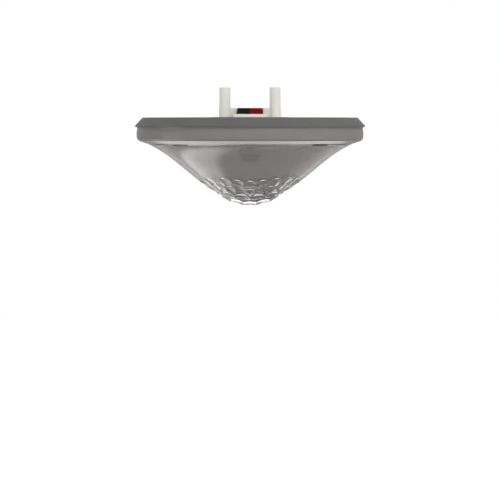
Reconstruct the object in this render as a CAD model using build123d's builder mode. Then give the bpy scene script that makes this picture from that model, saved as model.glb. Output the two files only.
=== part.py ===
from build123d import *
import os
from math import atan, cos, degrees, radians, sin, sqrt, tan

# Presence detector for a ceiling, drawn as it hangs. Sizes are in millimetres.
# +Z points up into the ceiling and the origin is the centre of the rear face,
# which lies against the ceiling. The lens points down, towards -Z.

# Clearances
slide_gap = 0.3          # between pieces that move past each other
fit_gap = 0.1            # between pieces that are pushed together and stay
hole_gap = 0.2           # round screws in pieces that they only pass through
edge_break = 0.3         # small chamfers and rounds on edges

# Rear housing
housing_radius = 55.0    # over the lip
rim_chamfer_width = 3.5
plate_thickness = 2.0
rim_depth = 4.5          # rear face to the underside of the rim
lip_height = 0.7
rim_play = 0.8           # rim to the lens cover's skirt
hub_radius = 18.2
hub_height = 0.3
drum_wall = 1.5          # wall that holds the board and the deck
boss_radius = 3.2
peg_radius = 2.2         # peg that sets the lens cover's turn
peg_inset = 0.6          # its axis inside the skirt's inner face
peg_depth = 8.6
catch_reach = 0.4        # rib that the cover's snap arms hook over
catch_depth = 5.4
catch_height = 0.8

# Trim ring
lip_overhang = 0.7       # the housing's lip beyond the ring's bulge
ring_height = 7.85
ring_top_step = 0.2
ring_shoulder = 1.1      # height of the ring above its barrel
ring_barrel = 0.3        # bulge of the barrel
ring_corner_height = 2.15
ring_wall = 1.8
ring_lip_reach = 2.8
ring_lip_thickness = 1.7
ring_lip_root = 2.6      # thickness of the lip where it meets the wall
ring_round = 0.9
tongue_thickness = 0.9
tongue_height = 1.0

# Lens cover
lens_depth = 41.75       # rear face to the tip of the nose
nose_tip_radius = 19.6   # curvature of the faceted dome at its tip
nose_spread = 19.4       # how soon the dome turns into a cone
nose_blank_radius = 22.2 # round blank from which the facets are cut
nose_inner_radius = 27.0 # round inside of the nose
cover_proud = 0.05       # the skirt's lower edge below the trim ring
flare_width = 13.2
flare_height = 8.3
flare_angle = 25.0       # slope of the flare where it meets the skirt, in degrees
cover_wall = 1.8
skirt_gap = 0.3          # skirt to the underside of the plate
slab_size = 18.0
slab_height = 10.0
snap_arm_gap = 0.5       # back of the arms to the skirt
snap_arm_thickness = 1.5
snap_arm_width = 9.0
snap_arm_count = 4
snap_arm_root = 1.6      # how deep the arms stand in the wall of the flare
snap_bead_reach = 0.3
snap_bead_height = 1.0

# Rings of facets: radius, number, angle of the first in degrees, how square the
# ring is, and how deep its facets lie below the dome
facet_rings = (
    (5.9, 8, 0.0, 0.41, 0.0),
    (12.9, 12, 15.0, 0.15, 0.08),
    (16.5, 24, 0.0, 0.20, 0.0),
    (21.6, 24, 0.0, 0.13, 0.0),
)
facet_edge_width = 3.0   # outer ring's middle to the facets' edge

# Terminal socket, with the two plug-in posts
post_spacing = 24.0
post_radius = 2.6
post_height = 14.6
post_foot_radius = 2.8   # foot of each post, up to just above the shroud
post_foot_height = 5.0
socket_wall = 1.5
socket_side_wall = 1.7
socket_floor = 0.8
shroud_height = 4.6
front_wall_height = 1.7
shroud_block_end = 9.7
shroud_block_depth = 8.2
flange_length = 34.0
flange_width = 20.0
flange_thickness = 1.6
flange_corner = 1.6

# Bus terminal
terminal_pole_width = 6.0
terminal_depth = 10.0
terminal_top = 4.6
terminal_height = 11.2
terminal_wall = 0.7
terminal_cap = 4.0
entry_size = 1.5
entry_funnel = 2.2
entry_funnel_depth = 1.0
entry_spacing_x = 2.6
entry_spacing_y = 4.4
contact_height = 5.2
contact_bottom_gap = 0.6
pin_radius = 0.5
pin_gap = 0.15
pin_point = 0.25
pin_tip_depth = 1.4
pin_tail = 0.8
spring_strip = 0.25
spring_width = 1.2
spring_foot = 1.7
spring_rise = 1.1

# Circuit board
board_play = 1.5         # board to the drum
board_thickness = 1.6
board_to_socket = 7.7    # rear face to the board's upper face
screw_spacing_x = 50.0
screw_spacing_y = 44.0
screw_radius = 1.1
screw_head_radius = 2.2
screw_head_height = 1.5
screw_head_round = 0.5
screw_length = 8.0
screw_recess_length = 2.0
screw_recess_width = 0.5
screw_recess_depth = 0.8

# Inner deck
deck_gap = 0.3           # board to the deck's flange
deck_flange = 1.0
deck_flange_width = 1.4
deck_wall = 1.2
deck_floor = 1.2
deck_height = 2.8
deck_post_radius = 2.8
key_collar_length = 14.0
key_collar_width = 7.8
key_collar_height = 0.8
key_collar_corner = 0.8
key_collar_inset = 3.8   # its middle to the deck's wall
key_slot_width = 1.8
key_slot_depth = 1.4
key_slot_spacing = 11.3

# Programming key and its switch
key_length = 7.8
key_width = 4.8
key_flange = 0.4
key_proud = 1.3
key_travel = 0.5         # down on to the switch's dome
switch_size = 4.5
switch_height = 0.6
dome_radius = 1.2
dome_height = 0.2
dome_round = 0.1
seat_gap = 0.05

# Movement sensor on its holder
holder_flange_radius = 6.9
holder_radius = 5.6
holder_bore = 3.9
holder_height = 7.6
holder_flange_thickness = 1.0
header_radius = 4.6
header_thickness = 0.8
can_radius = 4.1
can_height = 4.2
can_wall = 0.3
window_opening = 1.9     # radius of the hole in the can's front
window_radius = 2.6
window_thickness = 0.5
element_size = 4.0
element_height = 0.8
strip_length = 2.0
strip_width = 1.0
strip_height = 0.3
strip_spacing = 2.0
lead_radius = 0.22
lead_circle = 2.54
lead_count = 3
lead_end = 0.2           # short of the board's upper face

# Status lamp and its light guide
lamp_x = 29.0
lamp_y = -2.0
lamp_length = 3.0
lamp_width = 2.4
lamp_height = 0.8
guide_flats = 4.5
guide_flange_radius = 3.2
guide_flange_thickness = 0.6
guide_proud = 1.2

# Light sensor and infrared receiver, both under the faceted nose
light_sensor_y = -14.0
light_sensor_radius = 1.8
light_sensor_body = 4.0
receiver_y = 14.0
receiver_length = 5.6
receiver_width = 4.6
receiver_radius = 2.0
sensor_body_height = 1.7
barrel_proud = 0.6
barrel_round = 0.9

# Parts on the board's upper face
chip_size = 8.0
chip_height = 1.0
chip_x = -15.0
chip_y = -17.0
driver_length = 12.8
driver_width = 7.5
driver_height = 2.3
driver_y = 24.0
leg_width = 0.35
leg_thickness = 0.18
leg_reach = 1.0
chip_leg_pitch = 0.8
chip_legs_per_side = 8
driver_leg_pitch = 1.27
driver_legs_per_side = 9
capacitor_radius = 3.15
capacitor_height = 4.4
capacitor_base = 0.7
capacitor_base_size = 6.6
capacitor_corner = 0.7
capacitor_x = -26.0
capacitor_spacing = 16.0
choke_size = 7.3
choke_corner = 0.9
choke_height = 4.0
choke_core_radius = 2.6
choke_core_height = 3.7
choke_x = 26.0
choke_y = 8.0
crystal_length = 11.0
crystal_width = 4.6
crystal_height = 3.4
crystal_x = 26.0
crystal_y = -8.0
chip_part_length = 1.6
chip_part_width = 0.8
chip_part_height = 0.6
chip_part_pitch = 3.2
chip_part_row_pitch = 2.2
chip_part_count = 8
chip_part_rows = 3
chip_part_y = -29.0

# Radii worked out from the housing's, from the rim inwards
rear_face_radius = housing_radius - rim_chamfer_width
ring_bulge_radius = housing_radius - lip_overhang
ring_waist_radius = ring_bulge_radius - ring_barrel
ring_top_radius = ring_bulge_radius - ring_top_step
ring_wall_inner = ring_top_radius - ring_wall
ring_inner_radius = ring_wall_inner - ring_lip_reach
cover_radius = ring_inner_radius - slide_gap
skirt_inner_radius = cover_radius - cover_wall
rim_inner_radius = cover_radius + rim_play
peg_place = skirt_inner_radius - peg_inset
arm_outer_radius = skirt_inner_radius - snap_arm_gap
arm_inner_radius = arm_outer_radius - snap_arm_thickness
bead_radius = arm_inner_radius - snap_bead_reach
catch_radius = bead_radius - slide_gap
drum_radius = catch_radius - catch_reach
drum_inner_radius = drum_radius - drum_wall
board_radius = drum_inner_radius - board_play
deck_wall_radius = drum_radius - deck_flange_width
deck_inner_radius = deck_wall_radius - deck_wall
key_collar_place = key_collar_inset - deck_inner_radius

# Heights worked out from the sizes above; all lie below the rear face
ring_bottom = -rim_depth - ring_height
ring_waist_top = -rim_depth - ring_shoulder
ring_corner = ring_bottom + ring_corner_height
cover_edge = ring_bottom - cover_proud
board_top = -board_to_socket
board_bottom = board_top - board_thickness
drum_bottom = board_bottom - deck_gap
deck_bottom = drum_bottom - deck_height
deck_floor_top = deck_bottom + deck_floor
holder_bottom = board_bottom - holder_height
socket_floor_top = board_top + socket_floor
screw_places = GridLocations(screw_spacing_x, screw_spacing_y, 2, 2).locations
pole_places = (-terminal_pole_width / 2, terminal_pole_width / 2)
cavity_x = 2 * (terminal_pole_width + slide_gap)
cavity_y = terminal_depth + 2 * slide_gap
socket_x = cavity_x + 2 * socket_side_wall
socket_y = cavity_y + 2 * socket_wall


def nose_height(radius):
    """Height of the faceted dome's smooth guide surface at a radius."""
    rise = nose_spread**2 / nose_tip_radius
    return -lens_depth + rise * (sqrt(1 + (radius / nose_spread) ** 2) - 1)


def nose_slope(radius):
    """Slope of that guide surface at a radius."""
    return radius / nose_tip_radius / sqrt(1 + (radius / nose_spread) ** 2)


# The cone runs from the facets' edge to the flare
outer_ring_radius = facet_rings[-1][0]
facet_edge_radius = outer_ring_radius + facet_edge_width
facet_edge_height = (
    nose_height(outer_ring_radius) + nose_slope(outer_ring_radius) * facet_edge_width
)
cone_end_radius = cover_radius - flare_width
cone_rise = cover_edge - flare_height - facet_edge_height
cone = atan(cone_rise / (cone_end_radius - facet_edge_radius))


def cone_height(radius):
    """Height of the cone's outer skin at a radius."""
    return facet_edge_height + tan(cone) * (radius - facet_edge_radius)


def bell_curve(nose_radius, inset, end_radius, end_height):
    """Nose arc, cone and flare, at a distance inset inside the outer skin."""
    rise = inset / cos(cone)
    tip = cone_height(nose_radius * sin(cone)) + rise - nose_radius * (1 - cos(cone))
    nose_arc = JernArc((0, tip), (1, 0), nose_radius, degrees(cone))
    cone_top = cone_end_radius - inset * sin(cone)
    cone_line = Line(nose_arc @ 1, (cone_top, cone_height(cone_top) + rise))
    TangentArc(cone_line @ 1, (end_radius, end_height), tangent=cone_line % 1)
    return tip


def facet_planes(ring_radius, count, first_angle, squareness, inset):
    """Planes along the nose's guide surface, one for each facet of a ring."""
    planes = []
    for index in range(count):
        turn = radians(first_angle + index * 360 / count)
        radius = ring_radius * (1 + squareness * (1 - cos(4 * turn)) / 2)
        slope = atan(nose_slope(radius))
        place = (radius * cos(turn), radius * sin(turn), nose_height(radius))
        across = (-sin(turn), cos(turn), 0)
        outward = (sin(slope) * cos(turn), sin(slope) * sin(turn), -cos(slope))
        planes.append(Plane(place, x_dir=across, z_dir=outward).offset(-inset))
    return planes


def save(piece, name):
    """Label a finished piece and write it."""
    piece.part.label = name
    export_step(piece.part, f"parts/{name}.step")


os.makedirs("parts", exist_ok=True)

# Rear housing: plate, chamfered rim with its lip, and the drum that holds the board
with BuildPart() as rear_housing:
    with BuildSketch(Plane.XZ):
        with BuildLine():
            Polyline(
                (0, hub_height),
                (hub_radius, hub_height),
                (hub_radius, 0),
                (rear_face_radius, 0),
                (housing_radius, lip_height - rim_depth),
                (housing_radius, -rim_depth),
                (rim_inner_radius, -rim_depth),
                (rim_inner_radius, -plate_thickness),
                (drum_radius, -plate_thickness),
                (drum_radius, catch_height - catch_depth),
                (catch_radius, catch_height - catch_depth),
                (catch_radius, -catch_depth),
                (drum_radius, -catch_depth),
                (drum_radius, drum_bottom),
                (drum_inner_radius, drum_bottom),
                (drum_inner_radius, -plate_thickness),
                (0, -plate_thickness),
                close=True,
            )
        make_face()
    revolve(axis=Axis.Z)
    # Groove for the trim ring's tongue
    with BuildSketch(Plane.XY.offset(-rim_depth)):
        Circle(ring_wall_inner + tongue_thickness + fit_gap)
        Circle(ring_wall_inner - fit_gap, mode=Mode.SUBTRACT)
    extrude(amount=tongue_height + fit_gap, mode=Mode.SUBTRACT)
    # Bosses under the board's screws
    with BuildSketch(Plane.XY.offset(board_top)):
        with Locations(*screw_places):
            Circle(boss_radius)
    extrude(until=Until.NEXT)
    with BuildSketch(Plane.XY.offset(board_top)):
        with Locations(*screw_places):
            Circle(screw_radius + fit_gap)
    extrude(amount=-board_top - plate_thickness, mode=Mode.SUBTRACT)
    # Peg beside the drum
    with BuildSketch(Plane.XY.offset(-peg_depth)):
        with Locations((peg_place, 0)):
            Circle(peg_radius)
    extrude(amount=peg_depth - plate_thickness)
    # Opening for the socket's shroud and posts
    with BuildSketch(Plane.XY.offset(-plate_thickness)):
        Rectangle(2 * (shroud_block_end + fit_gap), socket_y + 2 * fit_gap)
        with GridLocations(post_spacing, 0, 2, 1):
            Circle(post_foot_radius + fit_gap)
    extrude(amount=plate_thickness + hub_height, mode=Mode.SUBTRACT)
save(rear_housing, "rear_housing")

# Trim ring: barrel-shaped wall, an inward lip at the bottom and a tongue at the top
with BuildPart() as trim_ring:
    with BuildSketch(Plane.XZ):
        with BuildLine():
            Line((ring_wall_inner, -rim_depth), (ring_top_radius, -rim_depth))
            Line((ring_top_radius, -rim_depth), (ring_waist_radius, ring_waist_top))
            barrel = ThreePointArc(
                (ring_waist_radius, ring_waist_top),
                (ring_bulge_radius, (ring_waist_top + ring_corner) / 2),
                (ring_waist_radius, ring_corner),
            )
            Polyline(
                barrel @ 1,
                (ring_waist_radius - ring_round, ring_corner - ring_round),
                (ring_inner_radius, ring_bottom),
                (ring_inner_radius, ring_bottom + ring_lip_thickness),
                (ring_wall_inner, ring_bottom + ring_lip_root),
                (ring_wall_inner, -rim_depth),
            )
        make_face()
    revolve(axis=Axis.Z)
    with BuildSketch(Plane.XY.offset(-rim_depth)):
        Circle(ring_wall_inner + tongue_thickness)
        Circle(ring_wall_inner, mode=Mode.SUBTRACT)
    extrude(amount=tongue_height)
save(trim_ring, "trim_ring")

# Lens cover: faceted nose, cone, flare, skirt and snap arms
skirt_top = -plate_thickness - skirt_gap
flare_slope = radians(flare_angle)
flare_inner_height = cover_edge + cover_wall / cos(flare_slope) - cover_wall * tan(flare_slope)
bead_bottom = catch_height - catch_depth + fit_gap
arm_top = bead_bottom + snap_bead_height
arm_root = flare_inner_height - snap_arm_root


def snap_arm_outline(inner_radius):
    """Arc-shaped outlines of the snap arms, out to the back of the arms."""
    with PolarLocations(0, snap_arm_count, start_angle=180 / snap_arm_count):
        Rectangle(cover_radius, snap_arm_width, align=(Align.MIN, Align.CENTER))
    Circle(arm_outer_radius, mode=Mode.INTERSECT)
    Circle(inner_radius, mode=Mode.SUBTRACT)


with BuildPart() as lens_cover:
    with BuildSketch(Plane.XZ):
        with BuildLine():
            blank_tip = bell_curve(nose_blank_radius, 0, cover_radius, cover_edge)
            inner_tip = bell_curve(
                nose_inner_radius, cover_wall, skirt_inner_radius, flare_inner_height
            )
            Line((0, blank_tip), (0, inner_tip))
            Polyline(
                (cover_radius, cover_edge),
                (cover_radius, skirt_top),
                (skirt_inner_radius, skirt_top),
                (skirt_inner_radius, flare_inner_height),
            )
        make_face()
    revolve(axis=Axis.Z)
    # Centre facet, then the rings of facets round it
    tip_facet = Plane((0, 0, -lens_depth), x_dir=(1, 0, 0), z_dir=(0, 0, -1))
    facets = [tip_facet]
    for ring in facet_rings:
        facets.extend(facet_planes(*ring))
    for facet in facets:
        with Locations(facet):
            Box(
                slab_size,
                slab_size,
                slab_height,
                align=(Align.CENTER, Align.CENTER, Align.MIN),
                mode=Mode.SUBTRACT,
            )
    # Notch in the skirt round the housing's peg
    with Locations((peg_place, 0, -peg_depth - slide_gap)):
        Box(
            2 * (peg_radius + slide_gap),
            2 * (peg_radius + slide_gap),
            peg_depth,
            align=(Align.CENTER, Align.CENTER, Align.MIN),
            mode=Mode.SUBTRACT,
        )
    # Snap arms and the beads at their ends
    with BuildSketch(Plane.XY.offset(arm_root)):
        snap_arm_outline(arm_inner_radius)
    extrude(amount=arm_top - arm_root)
    with BuildSketch(Plane.XY.offset(bead_bottom)):
        snap_arm_outline(bead_radius)
    extrude(amount=snap_bead_height)
save(lens_cover, "lens_cover")

# Terminal socket: floor, walls, tall rear block, inner flange and the two posts
with BuildPart() as terminal_socket:
    with BuildSketch(Plane.XY.offset(board_top)):
        Rectangle(socket_x, socket_y)
    extrude(amount=front_wall_height - board_top)
    with BuildSketch(Plane.XY.offset(-plate_thickness)):
        RectangleRounded(flange_length, flange_width, flange_corner)
    extrude(amount=-flange_thickness)
    with BuildSketch(Plane.XY.offset(-plate_thickness)):
        with Locations((0, socket_y / 2)):
            Rectangle(
                2 * shroud_block_end, shroud_block_depth, align=(Align.CENTER, Align.MAX)
            )
    extrude(amount=plate_thickness + shroud_height)
    with BuildSketch(Plane.XY.offset(-plate_thickness)):
        with GridLocations(post_spacing, 0, 2, 1):
            Circle(post_foot_radius)
    extrude(amount=plate_thickness + post_foot_height)
    with BuildSketch(Plane.XY.offset(post_foot_height)):
        with GridLocations(post_spacing, 0, 2, 1):
            Circle(post_radius)
    extrude(amount=post_height - post_foot_height)
    with BuildSketch(Plane.XY.offset(socket_floor_top)):
        Rectangle(cavity_x, cavity_y)
    extrude(amount=shroud_height - socket_floor_top, mode=Mode.SUBTRACT)
    with BuildSketch(Plane.XY.offset(board_top)):
        with Locations((pole_places[0], 0), (pole_places[1], 0)):
            Circle(pin_radius + pin_gap)
    extrude(amount=socket_floor, mode=Mode.SUBTRACT)
    chamfer(terminal_socket.edges().group_by(Axis.Z)[-1], length=edge_break)
save(terminal_socket, "terminal_socket")

# Bus terminal: a black and a red pole side by side, each with four wire entries
terminal_bottom = terminal_top - terminal_height
chamber_width = terminal_pole_width - 2 * terminal_wall
chamber_depth = terminal_depth - 2 * terminal_wall
chamber_top = terminal_top - terminal_cap
contact_bottom = terminal_bottom + contact_bottom_gap
contact_top = contact_bottom + contact_height
funnel_taper = degrees(atan((entry_funnel - entry_size) / 2 / entry_funnel_depth))
with BuildPart() as bus_terminal_black:
    with BuildSketch(Plane.XY.offset(terminal_bottom)):
        with Locations((pole_places[0], 0)):
            Rectangle(terminal_pole_width, terminal_depth)
    extrude(amount=terminal_height)
    outer_top_edge = (
        bus_terminal_black.edges().filter_by(Axis.Y).group_by(Axis.Z)[-1].sort_by(Axis.X)[0]
    )
    chamfer(outer_top_edge, length=edge_break)
    with BuildSketch(Plane.XY.offset(terminal_bottom)):
        with Locations((pole_places[0], 0)):
            Rectangle(chamber_width, chamber_depth)
    extrude(amount=chamber_top - terminal_bottom, mode=Mode.SUBTRACT)
    with BuildSketch(Plane.XY.offset(terminal_top)):
        with Locations((pole_places[0], 0)):
            with GridLocations(entry_spacing_x, entry_spacing_y, 2, 2):
                Rectangle(entry_funnel, entry_funnel)
    extrude(amount=-entry_funnel_depth, taper=funnel_taper, mode=Mode.SUBTRACT)
    with BuildSketch(Plane.XY.offset(terminal_top)):
        with Locations((pole_places[0], 0)):
            with GridLocations(entry_spacing_x, entry_spacing_y, 2, 2):
                Rectangle(entry_size, entry_size)
    extrude(amount=-terminal_cap, mode=Mode.SUBTRACT)
save(bus_terminal_black, "bus_terminal_black")

with BuildPart() as bus_terminal_red:
    mirror(bus_terminal_black.part, about=Plane.YZ)
save(bus_terminal_red, "bus_terminal_red")

with BuildPart() as terminal_contacts:
    with BuildSketch(Plane.XY.offset(contact_bottom)):
        with Locations((pole_places[0], 0), (pole_places[1], 0)):
            Rectangle(chamber_width - 2 * fit_gap, chamber_depth)
            Circle(pin_radius + pin_gap, mode=Mode.SUBTRACT)
    extrude(amount=contact_height)
save(terminal_contacts, "terminal_contacts")

with BuildPart() as wire_clamp_springs:
    with BuildSketch(Plane.YZ):
        with Locations((-entry_spacing_y / 2, contact_top), (entry_spacing_y / 2, contact_top)):
            Polygon(
                (-spring_foot / 2, 0),
                (spring_foot / 2, 0),
                (spring_foot / 2, spring_strip),
                (spring_strip, spring_rise),
                (0, spring_rise - spring_strip / 2),
                (spring_foot / 2 - 2 * spring_strip, spring_strip),
                (-spring_foot / 2, spring_strip),
                align=None,
            )
    spring_faces = extrude(amount=spring_width / 2, both=True, mode=Mode.PRIVATE)
    for pole in pole_places:
        for side in (-entry_spacing_x / 2, entry_spacing_x / 2):
            with Locations((pole + side, 0, 0)):
                add(spring_faces)
save(wire_clamp_springs, "wire_clamp_springs")

# Pins that stand on the board and reach up into the terminal
with BuildPart() as bus_pins:
    with BuildSketch(Plane.XY.offset(board_bottom - pin_tail)):
        with Locations((pole_places[0], 0), (pole_places[1], 0)):
            Circle(pin_radius)
    extrude(amount=-pin_tip_depth - board_bottom + pin_tail)
    chamfer(bus_pins.edges().group_by(Axis.Z)[-1], length=pin_point)
save(bus_pins, "bus_pins")

# Circuit board
lead_places = PolarLocations(lead_circle, lead_count, start_angle=90).locations
with BuildPart() as main_board:
    with BuildSketch(Plane.XY.offset(board_bottom)):
        Circle(board_radius)
        with Locations(*screw_places):
            Circle(screw_radius + hole_gap, mode=Mode.SUBTRACT)
        with Locations((pole_places[0], 0), (pole_places[1], 0)):
            Circle(pin_radius + fit_gap, mode=Mode.SUBTRACT)
        with Locations(*lead_places):
            Circle(lead_radius + fit_gap, mode=Mode.SUBTRACT)
    extrude(amount=board_thickness)
save(main_board, "main_board")

# Four screws that clamp the deck and the board to the housing
with BuildPart() as board_screws:
    with BuildSketch(Plane.XY.offset(deck_bottom)):
        with Locations(*screw_places):
            Circle(screw_head_radius)
    extrude(amount=-screw_head_height)
    head_rims = board_screws.edges().group_by(Axis.Z)[0]
    fillet(head_rims, radius=screw_head_round)
    with BuildSketch(Plane.XY.offset(deck_bottom)):
        with Locations(*screw_places):
            Circle(screw_radius)
    extrude(amount=screw_length)
    with BuildSketch(Plane.XY.offset(deck_bottom - screw_head_height)):
        with Locations(*screw_places):
            Rectangle(screw_recess_length, screw_recess_width)
            Rectangle(screw_recess_width, screw_recess_length)
    extrude(amount=screw_recess_depth, mode=Mode.SUBTRACT)
save(board_screws, "board_screws")

# Inner deck: shallow dish over the board, with windows for what looks or sticks out
key_window = (key_width + 2 * slide_gap, key_length + 2 * slide_gap)
with BuildPart() as inner_deck:
    with BuildSketch(Plane.XZ):
        with BuildLine():
            Polyline(
                (deck_inner_radius, drum_bottom),
                (drum_radius, drum_bottom),
                (drum_radius, drum_bottom - deck_flange),
                (deck_wall_radius, drum_bottom - deck_flange),
                (deck_wall_radius, deck_bottom),
                (0, deck_bottom),
                (0, deck_floor_top),
                (deck_inner_radius, deck_floor_top),
                close=True,
            )
        make_face()
    revolve(axis=Axis.Z)
    with BuildSketch(Plane.XY.offset(deck_floor_top)):
        with Locations(*screw_places):
            Circle(deck_post_radius)
    extrude(amount=board_bottom - deck_floor_top)
    with BuildSketch(Plane.XY.offset(deck_bottom)):
        with Locations((key_collar_place, 0)):
            RectangleRounded(key_collar_width, key_collar_length, key_collar_corner)
    extrude(amount=-key_collar_height)
    with BuildSketch(Plane.XY.offset(deck_bottom - key_collar_height)):
        with Locations((key_collar_place, 0)):
            with GridLocations(0, key_slot_spacing, 1, 2):
                Rectangle(key_window[0], key_slot_width)
    extrude(amount=key_slot_depth, mode=Mode.SUBTRACT)
    with BuildSketch(Plane.XY.offset(deck_bottom - key_collar_height)):
        Circle(holder_radius + slide_gap)
        with Locations(*screw_places):
            Circle(screw_radius + hole_gap)
        with Locations((key_collar_place, 0)):
            Rectangle(*key_window)
        with Locations((lamp_x, lamp_y)):
            RegularPolygon(guide_flats / 2 + fit_gap, 6, major_radius=False)
        with Locations((0, light_sensor_y)):
            Circle(light_sensor_radius + fit_gap)
        with Locations((0, receiver_y)):
            Circle(receiver_radius + fit_gap)
    extrude(amount=board_bottom - deck_bottom + key_collar_height, mode=Mode.SUBTRACT)
save(inner_deck, "inner_deck")

# Programming key, held in the deck's window by its flange
key_seat = deck_floor_top + seat_gap
dome_bottom = board_bottom - switch_height - dome_height
key_top = dome_bottom - key_travel - seat_gap
with BuildPart() as programming_key:
    with BuildSketch(Plane.XY.offset(key_seat)):
        with Locations((key_collar_place, 0)):
            Rectangle(
                key_window[0] + 2 * key_flange,
                key_window[1] + 2 * key_flange,
            )
    extrude(amount=key_top - key_seat)
    with BuildSketch(Plane.XY.offset(key_seat)):
        with Locations((key_collar_place, 0)):
            RectangleRounded(key_width, key_length, edge_break)
    extrude(amount=deck_bottom - key_proud - key_seat)
    chamfer(programming_key.edges().group_by(Axis.Z)[0], length=edge_break)
save(programming_key, "programming_key")

with BuildPart() as key_switch:
    with BuildSketch(Plane.XY.offset(board_bottom)):
        with Locations((key_collar_place, 0)):
            Rectangle(switch_size, switch_size)
    extrude(amount=-switch_height)
    chamfer(key_switch.edges().filter_by(Axis.Z), length=edge_break)
save(key_switch, "key_switch")

with BuildPart() as switch_dome:
    with BuildSketch(Plane.XY.offset(board_bottom - switch_height)):
        with Locations((key_collar_place, 0)):
            Circle(dome_radius)
    extrude(amount=-dome_height)
    fillet(switch_dome.edges().group_by(Axis.Z)[0], radius=dome_round)
save(switch_dome, "switch_dome")

# Movement sensor: holder, header, can, window, element and leads
header_seat = holder_bottom + header_thickness + fit_gap
can_seat = header_seat - header_thickness
can_front = can_seat - can_height
with BuildPart() as sensor_holder:
    with BuildSketch(Plane.XZ):
        with BuildLine():
            Polyline(
                (holder_bore, board_bottom),
                (holder_flange_radius, board_bottom),
                (holder_flange_radius, board_bottom - holder_flange_thickness),
                (holder_radius, board_bottom - holder_flange_thickness),
                (holder_radius, holder_bottom),
                (header_radius + fit_gap, holder_bottom),
                (header_radius + fit_gap, header_seat),
                (holder_bore, header_seat),
                close=True,
            )
        make_face()
    revolve(axis=Axis.Z)
save(sensor_holder, "sensor_holder")

with BuildPart() as sensor_header:
    with BuildSketch(Plane.XY.offset(header_seat)):
        Circle(header_radius)
    extrude(amount=-header_thickness)
save(sensor_header, "sensor_header")

with BuildPart() as sensor_can:
    with BuildSketch(Plane.XZ):
        with BuildLine():
            Polyline(
                (can_radius - can_wall, can_seat),
                (header_radius, can_seat),
                (header_radius, can_seat - can_wall),
                (can_radius, can_seat - can_wall),
                (can_radius, can_front),
                (window_opening, can_front),
                (window_opening, can_front + can_wall),
                (can_radius - can_wall, can_front + can_wall),
                close=True,
            )
        make_face()
    revolve(axis=Axis.Z)
    fillet(sensor_can.edges().group_by(Axis.Z)[0].sort_by(SortBy.RADIUS)[-1], radius=can_wall)
save(sensor_can, "sensor_can")

with BuildPart() as sensor_window:
    with BuildSketch(Plane.XY.offset(can_front + can_wall)):
        Circle(window_radius)
    extrude(amount=window_thickness)
save(sensor_window, "sensor_window")

with BuildPart() as sensor_element:
    with BuildSketch(Plane.XY.offset(can_seat)):
        Rectangle(element_size, element_size)
    extrude(amount=-element_height)
    with BuildSketch(Plane.XY.offset(can_seat - element_height)):
        with GridLocations(strip_spacing, 0, 2, 1):
            Rectangle(strip_width, strip_length)
    extrude(amount=-strip_height)
save(sensor_element, "sensor_element")

with BuildPart() as sensor_leads:
    with BuildSketch(Plane.XY.offset(header_seat)):
        with Locations(*lead_places):
            Circle(lead_radius)
    extrude(amount=board_top - lead_end - header_seat)
save(sensor_leads, "sensor_leads")

# Status lamp and its light guide
with BuildPart() as status_lamp:
    with BuildSketch(Plane.XY.offset(board_bottom)):
        with Locations((lamp_x, lamp_y)):
            Rectangle(lamp_length, lamp_width)
    extrude(amount=-lamp_height)
save(status_lamp, "status_lamp")

with BuildPart() as light_guide:
    with BuildSketch(Plane.XY.offset(deck_floor_top + seat_gap)):
        with Locations((lamp_x, lamp_y)):
            Circle(guide_flange_radius)
    extrude(amount=guide_flange_thickness)
    with BuildSketch(Plane.XY.offset(deck_floor_top + seat_gap)):
        with Locations((lamp_x, lamp_y)):
            RegularPolygon(guide_flats / 2, 6, major_radius=False)
    extrude(amount=deck_bottom - guide_proud - deck_floor_top - seat_gap)
    chamfer(light_guide.edges().group_by(Axis.Z)[0], length=edge_break)
save(light_guide, "light_guide")

# Light sensor and infrared receiver: a body on the board and a round-ended barrel
with BuildPart() as light_sensor:
    with BuildSketch(Plane.XY.offset(board_bottom)):
        with Locations((0, light_sensor_y)):
            Rectangle(light_sensor_body, light_sensor_body)
    extrude(amount=-sensor_body_height)
    with BuildSketch(Plane.XY.offset(board_bottom)):
        with Locations((0, light_sensor_y)):
            Circle(light_sensor_radius)
    extrude(amount=deck_bottom - barrel_proud - board_bottom)
    fillet(light_sensor.edges().group_by(Axis.Z)[0], radius=barrel_round)
save(light_sensor, "light_sensor")

with BuildPart() as infrared_receiver:
    with BuildSketch(Plane.XY.offset(board_bottom)):
        with Locations((0, receiver_y)):
            Rectangle(receiver_length, receiver_width)
    extrude(amount=-sensor_body_height)
    with BuildSketch(Plane.XY.offset(board_bottom)):
        with Locations((0, receiver_y)):
            Circle(receiver_radius)
    extrude(amount=deck_bottom - barrel_proud - board_bottom)
    fillet(infrared_receiver.edges().group_by(Axis.Z)[0], radius=barrel_round)
save(infrared_receiver, "infrared_receiver")

# Controller and bus driver chips with their legs
with BuildPart() as controller_chip:
    with BuildSketch(Plane.XY.offset(board_top)):
        with Locations((chip_x, chip_y)):
            Rectangle(chip_size, chip_size)
    extrude(amount=chip_height)
    chamfer(controller_chip.edges().group_by(Axis.Z)[-1], length=edge_break)
save(controller_chip, "controller_chip")

with BuildPart() as bus_driver_chip:
    with BuildSketch(Plane.XY.offset(board_top)):
        with Locations((0, driver_y)):
            Rectangle(driver_length, driver_width)
    extrude(amount=driver_height)
    chamfer(bus_driver_chip.edges().group_by(Axis.Z)[-1], length=edge_break)
save(bus_driver_chip, "bus_driver_chip")


def legs_along_a_side(pitch, count, body_height):
    """One row of bent legs, pointing away from the body's side."""
    with GridLocations(0, pitch, 1, count):
        Box(leg_reach, leg_width, leg_thickness, align=(Align.MIN, Align.CENTER, Align.MIN))
        Box(leg_thickness, leg_width, body_height / 2, align=(Align.MIN, Align.CENTER, Align.MIN))


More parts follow.
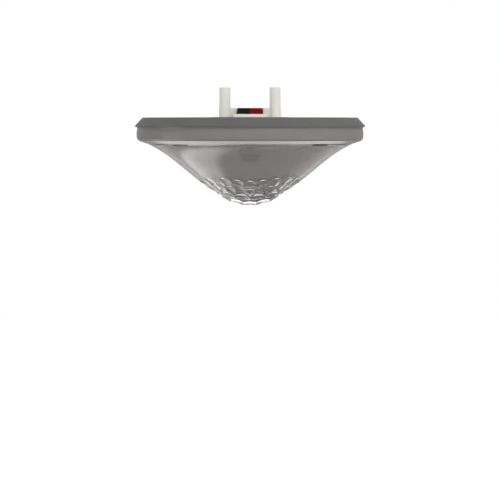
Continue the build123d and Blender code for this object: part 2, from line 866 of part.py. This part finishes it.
with BuildPart() as chip_legs:
    with Locations((chip_x, chip_y, board_top)):
        with PolarLocations(chip_size / 2, 4):
            legs_along_a_side(chip_leg_pitch, chip_legs_per_side, chip_height)
    with Locations((0, driver_y, board_top)):
        with PolarLocations(driver_width / 2, 2, start_angle=90):
            legs_along_a_side(driver_leg_pitch, driver_legs_per_side, driver_height)
save(chip_legs, "chip_legs")

# Storage capacitors: square bases and round cans
with BuildPart() as capacitor_bases:
    with BuildSketch(Plane.XY.offset(board_top)):
        with Locations((capacitor_x, 0)):
            with GridLocations(0, capacitor_spacing, 1, 2):
                Rectangle(capacitor_base_size, capacitor_base_size)
    extrude(amount=capacitor_base)
    free_corners = capacitor_bases.edges().filter_by(Axis.Z).group_by(Axis.X)[-1]
    chamfer(free_corners, length=capacitor_corner)
save(capacitor_bases, "capacitor_bases")

with BuildPart() as capacitor_cans:
    with BuildSketch(Plane.XY.offset(board_top + capacitor_base)):
        with Locations((capacitor_x, 0)):
            with GridLocations(0, capacitor_spacing, 1, 2):
                Circle(capacitor_radius)
    extrude(amount=capacitor_height)
    fillet(capacitor_cans.edges().group_by(Axis.Z)[-1], radius=edge_break)
save(capacitor_cans, "capacitor_cans")

# Choke: shield with a round core inside
with BuildPart() as choke_shield:
    with BuildSketch(Plane.XY.offset(board_top)):
        with Locations((choke_x, choke_y)):
            RectangleRounded(choke_size, choke_size, choke_corner)
            Circle(choke_core_radius + fit_gap, mode=Mode.SUBTRACT)
    extrude(amount=choke_height)
save(choke_shield, "choke_shield")

with BuildPart() as choke_core:
    with BuildSketch(Plane.XY.offset(board_top)):
        with Locations((choke_x, choke_y)):
            Circle(choke_core_radius)
    extrude(amount=choke_core_height)
save(choke_core, "choke_core")

# Crystal can
with BuildPart() as crystal:
    with BuildSketch(Plane.XY.offset(board_top)):
        with Locations((crystal_x, crystal_y)):
            SlotOverall(crystal_length, crystal_width)
    extrude(amount=crystal_height)
    fillet(crystal.edges().group_by(Axis.Z)[-1], radius=edge_break)
save(crystal, "crystal")

# Small chip parts in rows on the board
with BuildPart() as chip_parts:
    with BuildSketch(Plane.XY.offset(board_top)):
        with Locations((0, chip_part_y)):
            with GridLocations(
                chip_part_pitch, chip_part_row_pitch, chip_part_count, chip_part_rows
            ):
                Rectangle(chip_part_length, chip_part_width)
    extrude(amount=chip_part_height)
save(chip_parts, "chip_parts")
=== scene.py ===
import math

import bmesh
import bpy
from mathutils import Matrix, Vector
from mathutils.bvhtree import BVHTree


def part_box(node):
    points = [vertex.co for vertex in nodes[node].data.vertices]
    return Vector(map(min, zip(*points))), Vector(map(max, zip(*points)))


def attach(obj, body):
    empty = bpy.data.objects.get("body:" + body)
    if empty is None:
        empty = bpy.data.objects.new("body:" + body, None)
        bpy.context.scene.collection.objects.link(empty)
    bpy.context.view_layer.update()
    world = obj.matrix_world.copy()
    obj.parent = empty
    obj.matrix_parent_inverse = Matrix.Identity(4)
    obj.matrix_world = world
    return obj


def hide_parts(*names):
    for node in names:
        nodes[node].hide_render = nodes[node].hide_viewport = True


# Presence detector, hanging with its posts up. Lengths are in metres where nothing says mm.
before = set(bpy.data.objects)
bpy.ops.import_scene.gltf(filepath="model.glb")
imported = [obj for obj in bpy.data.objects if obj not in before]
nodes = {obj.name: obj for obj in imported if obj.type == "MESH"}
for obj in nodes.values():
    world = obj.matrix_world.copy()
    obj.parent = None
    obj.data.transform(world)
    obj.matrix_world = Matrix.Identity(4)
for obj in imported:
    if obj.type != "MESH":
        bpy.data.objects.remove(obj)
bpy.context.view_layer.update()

MM = 0.001               # one mm in metres
UP = Vector((0, 0, 1))


# Shader helpers

MOULD_DRIFT = (60.0, 4.0)    # a noise field: its waves per metre and its detail
MOULD_GRAIN = (900.0, 3.0)
CLEAR_DRIFT = (35.0, 3.0)
CLEAR_GRAIN = (500.0, 2.0)
NOISE_ROUGHNESS = 0.55   # how much the finer waves of a noise count
RAMP_START = 0.3         # noise below this gives a ramp's first colour
RAMP_END = 0.7           # noise above this gives its second colour


def new_material(name):
    """A material with one Principled shader, and its node tree."""
    material = bpy.data.materials.new(name)
    material.use_nodes = True
    tree = material.node_tree
    return material, tree, tree.nodes["Principled BSDF"]


def noise(tree, field):
    """Noise over the object's own coordinates."""
    scale, detail = field
    coordinates = tree.nodes.new("ShaderNodeTexCoord")
    texture = tree.nodes.new("ShaderNodeTexNoise")
    texture.inputs["Scale"].default_value = scale
    texture.inputs["Detail"].default_value = detail
    texture.inputs["Roughness"].default_value = NOISE_ROUGHNESS
    tree.links.new(coordinates.outputs["Object"], texture.inputs["Vector"])
    return texture.outputs["Fac"]


def ramp(tree, fac, low, high):
    """A colour that goes from low to high as fac rises."""
    node = tree.nodes.new("ShaderNodeValToRGB")
    node.color_ramp.elements[0].position = RAMP_START
    node.color_ramp.elements[0].color = (*low, 1)
    node.color_ramp.elements[1].position = RAMP_END
    node.color_ramp.elements[1].color = (*high, 1)
    tree.links.new(fac, node.inputs["Fac"])
    return node.outputs["Color"]


def span(tree, fac, low, high):
    """fac mapped from 0..1 to low..high."""
    node = tree.nodes.new("ShaderNodeMapRange")
    node.inputs["To Min"].default_value = low
    node.inputs["To Max"].default_value = high
    tree.links.new(fac, node.inputs["Value"])
    return node.outputs["Result"]


def bump(tree, height, distance):
    """A normal from a height field, distance in metres."""
    node = tree.nodes.new("ShaderNodeBump")
    node.inputs["Strength"].default_value = 1.0
    node.inputs["Distance"].default_value = distance
    tree.links.new(height, node.inputs["Height"])
    return node.outputs["Normal"]


def shaded(colour, share):
    """A colour with each part scaled by a share, and no part over 1."""
    return tuple(min(1.0, part * share) for part in colour)


def drift_colour(tree, shader, field, colour, tint):
    """Make the base colour drift by a share to the dark and to the light side."""
    drift = noise(tree, field)
    darker, lighter = shaded(colour, 1 - tint), shaded(colour, 1 + tint)
    tree.links.new(ramp(tree, drift, darker, lighter), shader.inputs["Base Color"])


def vary_gloss(tree, shader, fine, roughness, spread):
    """Make the roughness follow a fine noise, by a share up and down."""
    low, high = roughness * (1 - spread), roughness * (1 + spread)
    tree.links.new(span(tree, fine, low, high), shader.inputs["Roughness"])


# Kinds of surface

MOULD_TINT = 0.06        # share by which a moulded or rolled surface drifts in colour
MOULD_SPREAD = 0.15      # share by which its roughness varies
GRAIN_HEIGHT = 0.00001   # height of its fine grain
CLEAR_TINT = 0.04        # the same two shares for see-through plastic
CLEAR_SPREAD = 0.1
CLEAR_IOR = 1.5          # its index of refraction
PALE_RADIUS = 49.0       # the rear housing is pale inside this radius, in mm
PALE_TINT = 0.05         # share by which its pale part drifts to the dark side


def finish_material(name, colour, roughness, metallic=0.0, shine=0.5):
    """A moulded or rolled surface: slight colour drift, varied gloss and fine grain."""
    material, tree, shader = new_material(name)
    drift_colour(tree, shader, MOULD_DRIFT, colour, MOULD_TINT)
    fine = noise(tree, MOULD_GRAIN)
    vary_gloss(tree, shader, fine, roughness, MOULD_SPREAD)
    tree.links.new(bump(tree, fine, GRAIN_HEIGHT), shader.inputs["Normal"])
    shader.inputs["Metallic"].default_value = metallic
    shader.inputs["Specular IOR Level"].default_value = shine
    return material


def metal(name, colour, roughness):
    """A rolled, drawn or plated metal."""
    return finish_material(name, colour, roughness, metallic=1.0)


def see_through(name, colour, clear, roughness=0.065, shine=0.5):
    """See-through plastic, clear or smoky, with a faint drift in its tint and its gloss."""
    material, tree, shader = new_material(name)
    drift_colour(tree, shader, CLEAR_DRIFT, colour, CLEAR_TINT)
    vary_gloss(tree, shader, noise(tree, CLEAR_GRAIN), roughness, CLEAR_SPREAD)
    shader.inputs["Transmission Weight"].default_value = clear
    shader.inputs["IOR"].default_value = CLEAR_IOR
    shader.inputs["Specular IOR Level"].default_value = shine
    return material


def near_axis(tree, radius):
    """1 within a radius of the detector's axis, 0 outside it."""
    coordinates = tree.nodes.new("ShaderNodeTexCoord")
    flat = tree.nodes.new("ShaderNodeVectorMath")
    flat.operation = "MULTIPLY"
    flat.inputs[1].default_value = (1.0, 1.0, 0.0)
    tree.links.new(coordinates.outputs["Object"], flat.inputs[0])
    from_axis = tree.nodes.new("ShaderNodeVectorMath")
    from_axis.operation = "LENGTH"
    tree.links.new(flat.outputs["Vector"], from_axis.inputs[0])
    inside = tree.nodes.new("ShaderNodeMath")
    inside.operation = "LESS_THAN"
    inside.inputs[1].default_value = radius
    tree.links.new(from_axis.outputs["Value"], inside.inputs[0])
    return inside.outputs["Value"]


def housing_plastic(name, rim_colour, inner_colour, roughness):
    """The rear housing's plastic: smoky grey at the rim, pale within PALE_RADIUS of the axis."""
    material = finish_material(name, rim_colour, roughness)
    tree = material.node_tree
    base = tree.nodes["Principled BSDF"].inputs["Base Color"]
    pale = ramp(tree, noise(tree, MOULD_DRIFT), shaded(inner_colour, 1 - PALE_TINT), inner_colour)
    mix = tree.nodes.new("ShaderNodeMix")
    mix.data_type = "RGBA"
    tree.links.new(near_axis(tree, PALE_RADIUS * MM), mix.inputs["Factor"])
    tree.links.new(base.links[0].from_socket, mix.inputs["A"])
    tree.links.new(pale, mix.inputs["B"])
    tree.links.new(mix.outputs["Result"], base)
    return material


# The detector's materials

smoky = see_through("smoky_cover", (0.40, 0.385, 0.37), clear=0.92)
smoky_ring = see_through(
    "smoky_ring", (0.26, 0.255, 0.25), clear=0.25, roughness=0.17, shine=0.025
)
housing_grey = housing_plastic(
    "housing_grey", (0.105, 0.105, 0.10), inner_colour=(0.50, 0.49, 0.47), roughness=0.38
)
deck_pale = finish_material("deck_pale", (0.80, 0.785, 0.76), roughness=0.5)
post_grey = finish_material("post_grey", (0.72, 0.72, 0.66), roughness=0.42)
black = finish_material("terminal_black", (0.010, 0.010, 0.009), roughness=0.45, shine=0.08)
red = finish_material("terminal_red", (0.19, 0.003, 0.0035), roughness=0.45, shine=0.05)
tin = metal("tin", (0.72, 0.71, 0.68), roughness=0.28)
spring_steel = metal("spring_steel", (0.58, 0.58, 0.58), roughness=0.3)
brass = metal("brass", (0.80, 0.62, 0.30), roughness=0.25)
zinc = metal("zinc", (0.62, 0.62, 0.62), roughness=0.32)
nickel = metal("nickel", (0.66, 0.64, 0.60), roughness=0.22)
aluminium = metal("aluminium", (0.76, 0.76, 0.77), roughness=0.3)
key_grey = finish_material("key_grey", (0.42, 0.41, 0.39), roughness=0.45)
matt_black = finish_material("matt_black", (0.03, 0.03, 0.03), roughness=0.6)
chip_black = finish_material("chip_black", (0.022, 0.022, 0.023), roughness=0.55)
window_dark = finish_material("window_dark", (0.03, 0.028, 0.03), roughness=0.12)
ceramic = finish_material("ceramic", (0.60, 0.58, 0.52), roughness=0.6)
lamp_white = finish_material("lamp_white", (0.75, 0.74, 0.65), roughness=0.3)
dark_resin = finish_material("dark_resin", (0.02, 0.016, 0.018), roughness=0.15)
ferrite = finish_material("ferrite", (0.07, 0.07, 0.072), roughness=0.65)
part_tan = finish_material("part_tan", (0.42, 0.33, 0.23), roughness=0.5)
clear_plastic = see_through("clear_plastic", (0.92, 0.93, 0.92), clear=1.0)
board_green = finish_material("board_green", (0.02, 0.12, 0.055), roughness=0.3)

finishes = {
    "lens_cover": smoky,
    "trim_ring": smoky_ring,
    "rear_housing": housing_grey,
    "inner_deck": deck_pale,
    "terminal_socket": post_grey,
    "bus_terminal_black": black,
    "bus_terminal_red": red,
    "sensor_holder": deck_pale,
    "terminal_contacts": tin,
    "chip_legs": tin,
    "sensor_leads": tin,
    "wire_clamp_springs": spring_steel,
    "switch_dome": spring_steel,
    "bus_pins": brass,
    "main_board": board_green,
    "board_screws": zinc,
    "programming_key": key_grey,
    "key_switch": matt_black,
    "capacitor_bases": matt_black,
    "sensor_header": nickel,
    "sensor_can": nickel,
    "crystal": nickel,
    "sensor_window": window_dark,
    "sensor_element": ceramic,
    "status_lamp": lamp_white,
    "light_guide": clear_plastic,
    "light_sensor": clear_plastic,
    "infrared_receiver": dark_resin,
    "controller_chip": chip_black,
    "bus_driver_chip": chip_black,
    "capacitor_cans": aluminium,
    "choke_shield": ferrite,
    "choke_core": ferrite,
    "chip_parts": part_tan,
}
for node_name, finish in finishes.items():
    for slot in nodes[node_name].material_slots:
        slot.link = "OBJECT"
        slot.material = finish


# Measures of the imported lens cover, in mm

CLEAR_SIDE = math.radians(22.5)    # no snap arm or notch at this azimuth
OUTWARD = Vector((math.cos(CLEAR_SIDE), math.sin(CLEAR_SIDE), 0))
PROBE_START = 0.1        # a probing ray starts this far below the rear face, in metres
PROBE_NUDGE = 0.3        # and goes on this far behind the outer skin
EDGE_INSET = 0.1         # from the cover's edge to where its height is measured
SKIRT_LEVEL = -4.0       # height at which the skirt's inside is measured
CONE_START = 28.0        # the cone is straight between these two radii
CONE_END = 34.0

packed_cover = nodes["lens_cover"].data
cover_skin = BVHTree.FromPolygons(
    [vertex.co for vertex in packed_cover.vertices],
    [face.vertices for face in packed_cover.polygons],
)


def skin_heights(radius):
    """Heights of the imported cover's outer and inner skin at a radius."""
    start = OUTWARD * radius * MM - UP * PROBE_START
    outer = cover_skin.ray_cast(start, UP)[0]
    inner = cover_skin.ray_cast(outer + UP * PROBE_NUDGE * MM, UP)[0]
    return outer.z / MM, inner.z / MM


def outer_height(radius):
    """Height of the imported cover's outer skin at a radius."""
    return skin_heights(radius)[0]


def inner_height(radius):
    """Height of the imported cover's inner skin at a radius."""
    return skin_heights(radius)[1]


def cone_line():
    """The cone's height, carried on to the axis, and its slope."""
    low, high = outer_height(CONE_START), outer_height(CONE_END)
    slope = (high - low) / (CONE_END - CONE_START)
    return low - slope * CONE_START, slope


cover_low, cover_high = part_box("lens_cover")
lens_depth = -cover_low.z / MM
cover_top = cover_high.z / MM
cover_radius = cover_high.x / MM
cover_edge = outer_height(cover_radius - EDGE_INSET)
skirt_inner = cover_skin.ray_cast(Vector((0, 0, SKIRT_LEVEL)) * MM, OUTWARD)[0].xy.length / MM


# Facets and lenses of the nose, in mm

FACETS_END = 28.0        # all facets lie inside this radius
SAME_FACET = math.cos(math.radians(1.5))    # faces turned by less lie on one facet
CONE_TURN = math.cos(math.radians(38.4))    # the cone is steeper than this, every facet flatter
SLIVER = 1.0             # a smaller area, in square mm, is no facet
OUTER_ROWS = 15.0        # facets with their middle further out than this are in the outer rows
INNER_DISH = (0.45, 11.0)    # how deep a facet's dish is at its middle, and the dish's radius
OUTER_DISH = (0.72, 8.0)     # the same two in the outer rows
TIP_SLOPE = 0.01         # the facet at the very tip is flatter than this, and has no dish
LENS_WALL = 2.1          # from a facet's flat plane to the top of the lens behind it
LENS_RADIUS = 9.0        # radius of each lens


def facet_with(facets, normal):
    """The facet that a face with this normal lies on, a new one where none fits."""
    for facet in facets:
        if facet["normal"].dot(normal) > SAME_FACET:
            return facet
    facets.append({"normal": normal.copy(), "area": 0.0, "moment": Vector()})
    return facets[-1]


def facet_planes():
    """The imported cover's flat facets: slopes along x and y, height at the axis, and middle."""
    facets = []
    for face in packed_cover.polygons:
        centre = face.center / MM
        if face.normal.z < -CONE_TURN and math.hypot(centre.x, centre.y) < FACETS_END:
            facet = facet_with(facets, face.normal)
            facet["area"] += face.area
            facet["moment"] += centre * face.area
    planes = []
    for facet in facets:
        if facet["area"] > SLIVER * MM**2:
            normal, middle = facet["normal"], facet["moment"] / facet["area"]
            slope_x, slope_y = -normal.x / normal.z, -normal.y / normal.z
            level = middle.z - slope_x * middle.x - slope_y * middle.y
            planes.append((slope_x, slope_y, level, middle.x, middle.y))
    return planes


def nose_height(x, y, planes, cone):
    """Height of the nose's outside at a point: the cone, or the shallow dish of a facet."""
    cone_level, cone_slope = cone
    heights = [cone_level + cone_slope * math.hypot(x, y)]
    for slope_x, slope_y, level, middle_x, middle_y in planes:
        height = level + slope_x * x + slope_y * y
        if math.hypot(slope_x, slope_y) > TIP_SLOPE:
            in_outer_row = math.hypot(middle_x, middle_y) > OUTER_ROWS
            depth, radius = OUTER_DISH if in_outer_row else INNER_DISH
            off_middle = (x - middle_x) ** 2 + (y - middle_y) ** 2
            height += depth - off_middle / (2 * radius)
        heights.append(height)
    return max(heights)


def lens_height(x, y, planes, skin):
    """Height of the nose's inside at a point: the smooth skin, or a lens that stands on it.

    Only the facets of the inner rows have a lens behind them."""
    heights = [skin]
    for slope_x, slope_y, level, middle_x, middle_y in planes:
        if math.hypot(middle_x, middle_y) <= OUTER_ROWS:
            off_middle = (x - middle_x) ** 2 + (y - middle_y) ** 2
            wall = LENS_WALL * math.sqrt(1 + slope_x**2 + slope_y**2)
            height = level + slope_x * x + slope_y * y + wall
            heights.append(height - off_middle / (2 * LENS_RADIUS))
    return max(heights)


# Skirt, snap arms and notch of the lens cover, in mm

FULL_TURN = 360          # in degrees
ARM_PITCH = 90           # degrees from one arm to the next, the first at half of that
ARM_SPAN = 5.6           # half the angle that an arm takes up, in degrees
ARM_OUTER = 46.9         # radius of an arm's outer face
ARM_INNER = 45.4         # radius of its inner face
ARM_TOP = -3.5           # height of its top
ARM_POINTS = 6           # points of its section
BEAD_INNER = 45.1        # radius of the bead at its top
BEAD_BOTTOM = -4.5       # height of the bead's underside
NOTCH_SPAN = 3.1         # half the notch's angle, in degrees
NOTCH_FLOOR = -8.9       # height of its floor
EDGE_BREAK = 0.25        # size of the chamfers on the skirt's edges
WALL_CLEARANCE = 0.05    # from the skirt's inside to where the skin's height is measured


def side_at(angle):
    """What stands in the skirt at an angle, in degrees."""
    if min(angle, FULL_TURN - angle) < NOTCH_SPAN:
        return "notch"
    if abs(angle % ARM_PITCH - ARM_PITCH / 2) < ARM_SPAN:
        return "arm"
    return "plain"


def arm_points():
    """Points of a snap arm's section, from its foot outside to its foot inside."""
    return [
        (ARM_OUTER, inner_height(ARM_OUTER)),
        (ARM_OUTER, ARM_TOP),
        (BEAD_INNER, ARM_TOP),
        (BEAD_INNER, BEAD_BOTTOM),
        (ARM_INNER, BEAD_BOTTOM),
        (ARM_INNER, inner_height(ARM_INNER)),
    ]


def floor_points():
    """As many points on the cover's inner skin, where no arm stands."""
    points = []
    for step in range(ARM_POINTS):
        radius = ARM_OUTER + (ARM_INNER - ARM_OUTER) * step / (ARM_POINTS - 1)
        points.append((radius, inner_height(radius)))
    return points


def rim_section(side):
    """Points of a section up the skirt's outside, over its top and down to the flare's inside.

    side is "arm" where a snap arm stands, "notch" at the notch, or "plain"."""
    top = NOTCH_FLOOR if side == "notch" else cover_top
    skirt = [
        (cover_radius, cover_edge + EDGE_BREAK),
        (cover_radius, top - EDGE_BREAK),
        (cover_radius - EDGE_BREAK, top),
        (skirt_inner + EDGE_BREAK, top),
        (skirt_inner, top - EDGE_BREAK),
        (skirt_inner, inner_height(skirt_inner - WALL_CLEARANCE)),
    ]
    return skirt + (arm_points() if side == "arm" else floor_points())


# Lens cover, modelled as one shell in place of the flat-faceted node

COLUMNS = 360            # points round each ring of the mesh
QUARTERS = 4             # the facets repeat in each quarter turn
TURNS = [math.tau * column / COLUMNS for column in range(COLUMNS)]
NOSE_STEP = 0.2          # between the rings over the facets outside, in mm
LENS_STEP = 0.4          # between those over the lenses inside, in mm
SKIN_STEP = 0.8          # between all others, in mm
SHARP_ANGLE = 32.0       # edges that turn by more are drawn sharp, in degrees


def corner(shape, turn, radius, height):
    """A vertex of the shell, at an angle in radians and a radius and height in mm."""
    place = Vector((radius * math.cos(turn), radius * math.sin(turn), height))
    return shape.verts.new(place * MM)


def full_ring(shape, radius, heights):
    """A ring of vertices at one radius, with a height for each column."""
    return [corner(shape, turn, radius, height) for turn, height in zip(TURNS, heights)]


def facet_ring(shape, radius, surface, planes, smooth):
    """A ring over the facets, worked out for one quarter turn and repeated."""
    quarter = [
        surface(radius * math.cos(turn), radius * math.sin(turn), planes, smooth)
        for turn in TURNS[: COLUMNS // QUARTERS]
    ]
    return full_ring(shape, radius, quarter * QUARTERS)


def outside_rings(shape, planes):
    """Rings from the tip over the facets, the cone and the flare to the cover's edge."""
    cone = cone_line()
    rings = []
    radius = NOSE_STEP
    while radius < FACETS_END:
        rings.append(facet_ring(shape, radius, nose_height, planes, cone))
        radius += NOSE_STEP
    while radius < cover_radius - EDGE_BREAK:
        rings.append(full_ring(shape, radius, [outer_height(radius)] * COLUMNS))
        radius += SKIN_STEP
    return rings


def rim_rings(shape):
    """Rings over the skirt and the snap arms, one for each point of the sections."""
    sections = [rim_section(side_at(math.degrees(turn))) for turn in TURNS]
    return [
        [corner(shape, turn, *point) for turn, point in zip(TURNS, row)] for row in zip(*sections)
    ]


def inside_rings(shape, planes):
    """Rings down the inner skin from the snap arms to the lens behind the tip."""
    rings = []
    radius = ARM_INNER - SKIN_STEP
    while radius > FACETS_END:
        rings.append(full_ring(shape, radius, [inner_height(radius)] * COLUMNS))
        radius -= SKIN_STEP
    while radius > NOSE_STEP:
        rings.append(facet_ring(shape, radius, lens_height, planes, inner_height(radius)))
        radius -= LENS_STEP
    return rings


def join_rings(shape, rings):
    """Faces between neighbouring rings, and a fan at the tip outside and inside."""
    for first, second in zip(rings, rings[1:]):
        for column in range(COLUMNS):
            after = (column + 1) % COLUMNS
            shape.faces.new((first[column], second[column], second[after], first[after]))
    for last, height in ((rings[0], -lens_depth), (rings[-1], LENS_WALL - lens_depth)):
        tip = shape.verts.new((0, 0, height * MM))
        for column in range(COLUMNS):
            shape.faces.new((tip, last[column], last[(column + 1) % COLUMNS]))


def build_lens_cover():
    """The cover's shell: nose with its facets and lenses, cone, flare, skirt and snap arms."""
    planes = facet_planes()
    shape = bmesh.new()
    rings = outside_rings(shape, planes) + rim_rings(shape) + inside_rings(shape, planes)
    join_rings(shape, rings)
    bmesh.ops.recalc_face_normals(shape, faces=shape.faces)
    shell = bpy.data.meshes.new("lens_cover_shell")
    shape.to_mesh(shell)
    shape.free()
    shell.shade_smooth()
    shell.set_sharp_from_angle(angle=math.radians(SHARP_ANGLE))
    shell.materials.append(smoky)
    cover = bpy.data.objects.new("lens_cover_shell", shell)
    bpy.context.scene.collection.objects.link(cover)
    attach(cover, "cover")
    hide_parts("lens_cover")


build_lens_cover()


# White background and floor

ROOM_LIGHT = 0.95        # the white world's strength as light on matt surfaces
ROOM_IN_GLOSS = 0.38     # and its strength in reflections
WHITE = (1, 1, 1, 1)
FLOOR_COLOUR = (0.86, 0.86, 0.86, 1)
FLOOR_ROUGHNESS = 0.7
FLOOR_HEIGHT = -1.30
FLOOR_SIZE = 40.0        # side of the square floor


def background_strength(tree, light_strength, gloss_strength):
    """1 where the camera or glass sees it, one strength in reflections and one for light."""
    path = tree.nodes.new("ShaderNodeLightPath")
    seen = tree.nodes.new("ShaderNodeMath")
    seen.operation = "MAXIMUM"
    tree.links.new(path.outputs["Is Camera Ray"], seen.inputs[0])
    tree.links.new(path.outputs["Is Transmission Ray"], seen.inputs[1])
    unseen = span(tree, path.outputs["Is Glossy Ray"], light_strength, gloss_strength)
    strength = tree.nodes.new("ShaderNodeMapRange")
    strength.inputs["To Max"].default_value = 1.0
    tree.links.new(seen.outputs["Value"], strength.inputs["Value"])
    tree.links.new(unseen, strength.inputs["To Min"])
    return strength.outputs["Result"]


def build_world():
    """A white world that also lights the detector from all sides."""
    world = bpy.data.worlds.new("studio")
    bpy.context.scene.world = world
    world.use_nodes = True
    tree = world.node_tree
    sky = tree.nodes["Background"]
    sky.inputs["Color"].default_value = WHITE
    strength = background_strength(tree, ROOM_LIGHT, ROOM_IN_GLOSS)
    tree.links.new(strength, sky.inputs["Strength"])


def build_floor():
    """A plain pale floor that the camera sees as white."""
    bpy.ops.mesh.primitive_plane_add(size=FLOOR_SIZE, location=(0, 0, FLOOR_HEIGHT))
    floor = bpy.context.object
    floor.name = "floor"
    material, tree, shader = new_material("floor_white")
    shader.inputs["Base Color"].default_value = FLOOR_COLOUR
    shader.inputs["Roughness"].default_value = FLOOR_ROUGHNESS
    shader.inputs["Emission Color"].default_value = WHITE
    strength = background_strength(tree, light_strength=0.0, gloss_strength=0.0)
    tree.links.new(strength, shader.inputs["Emission Strength"])
    floor.data.materials.append(material)
    floor.visible_glossy = False


build_world()
build_floor()


# Lamps

LAMP_TARGET = Vector((0, 0, -0.02))    # the point that each lamp faces
LAMP_MIDDLE = 0.5        # across a lamp, both coordinates go from 0 to 1
SOFT_EDGE = 0.25         # share of a lamp's width and height that its soft edge takes up


def soft_edges(tree):
    """1 in a lamp's middle, falling to 0 over the outer part of its width and height."""
    place = tree.nodes.new("ShaderNodeNewGeometry")
    across = tree.nodes.new("ShaderNodeSeparateXYZ")
    tree.links.new(place.outputs["Parametric"], across.inputs["Vector"])
    product = tree.nodes.new("ShaderNodeMath")
    product.operation = "MULTIPLY"
    for index, axis in enumerate("XY"):
        inward = tree.nodes.new("ShaderNodeMath")
        inward.operation = "PINGPONG"
        inward.inputs[1].default_value = LAMP_MIDDLE
        tree.links.new(across.outputs[axis], inward.inputs[0])
        rise = tree.nodes.new("ShaderNodeMapRange")
        rise.interpolation_type = "SMOOTHSTEP"
        rise.inputs["From Max"].default_value = SOFT_EDGE
        tree.links.new(inward.outputs["Value"], rise.inputs["Value"])
        tree.links.new(rise.outputs["Result"], product.inputs[index])
    return product.outputs["Value"]


def direction(azimuth, elevation):
    """A unit vector from two angles in degrees."""
    turn, rise = math.radians(azimuth), math.radians(elevation)
    return Vector(
        (math.cos(rise) * math.cos(turn), math.cos(rise) * math.sin(turn), math.sin(rise))
    )


def softbox(name, away, distance, width, height, radiance, only_gloss=True, in_glass=False):
    """A rectangular lamp that faces the detector, at a distance along the vector away.

    A lamp for gloss alone shapes the reflections and adds no light to matt surfaces.
    A lamp in glass also shines through the smoky plastic."""
    data = bpy.data.lights.new(name, "AREA")
    data.shape = "RECTANGLE"
    data.size = width
    data.size_y = height
    data.energy = radiance * math.pi * width * height
    data.use_nodes = True
    tree = data.node_tree
    tree.links.new(soft_edges(tree), tree.nodes["Emission"].inputs["Strength"])
    lamp = bpy.data.objects.new(name, data)
    bpy.context.scene.collection.objects.link(lamp)
    lamp.location = LAMP_TARGET + away * distance
    lamp.rotation_mode = "QUATERNION"
    lamp.rotation_quaternion = away.to_track_quat("Z", "Y")
    lamp.visible_camera = False
    lamp.visible_transmission = in_glass
    lamp.visible_diffuse = not only_gloss


softbox(
    "key_light",
    direction(azimuth=-60, elevation=35),
    distance=1.2,
    width=0.9,
    height=0.9,
    radiance=3.4,
    only_gloss=False,
)
softbox(
    "left_flank",
    direction(azimuth=129, elevation=-46),
    distance=1.1,
    width=0.65,
    height=0.84,
    radiance=1.8,
)
softbox(
    "rear_below",
    direction(azimuth=90, elevation=-33),
    distance=0.9,
    width=0.46,
    height=0.60,
    radiance=3.4,
    in_glass=True,
)
softbox(
    "right_card",
    direction(azimuth=-17, elevation=-25),
    distance=0.9,
    width=0.55,
    height=0.6,
    radiance=2.0,
)
softbox(
    "left_card",
    direction(azimuth=185, elevation=-15),
    distance=0.9,
    width=0.45,
    height=0.8,
    radiance=2.0,
)


# Camera, on the photograph's side

CAMERA_DISTANCE = 1.5    # from the detector's axis
CAMERA_HEIGHT = -0.006
CAMERA_TILT = 2.19       # how far it looks down, in degrees
CAMERA_LENS = 225.5      # focal length, in mm
CAMERA_NEAR = 0.01       # nothing nearer is seen
CAMERA_FAR = 100.0       # nor anything further away


def build_camera():
    """A camera in front of the detector, looking along +Y and slightly down."""
    data = bpy.data.cameras.new("camera")
    data.lens = CAMERA_LENS
    data.clip_start = CAMERA_NEAR
    data.clip_end = CAMERA_FAR
    camera = bpy.data.objects.new("camera", data)
    bpy.context.scene.collection.objects.link(camera)
    bpy.context.scene.camera = camera
    camera.location = (0, -CAMERA_DISTANCE, CAMERA_HEIGHT)
    camera.rotation_euler = (math.radians(90 - CAMERA_TILT), 0, 0)


build_camera()

bpy.context.scene.view_settings.view_transform = "Standard"
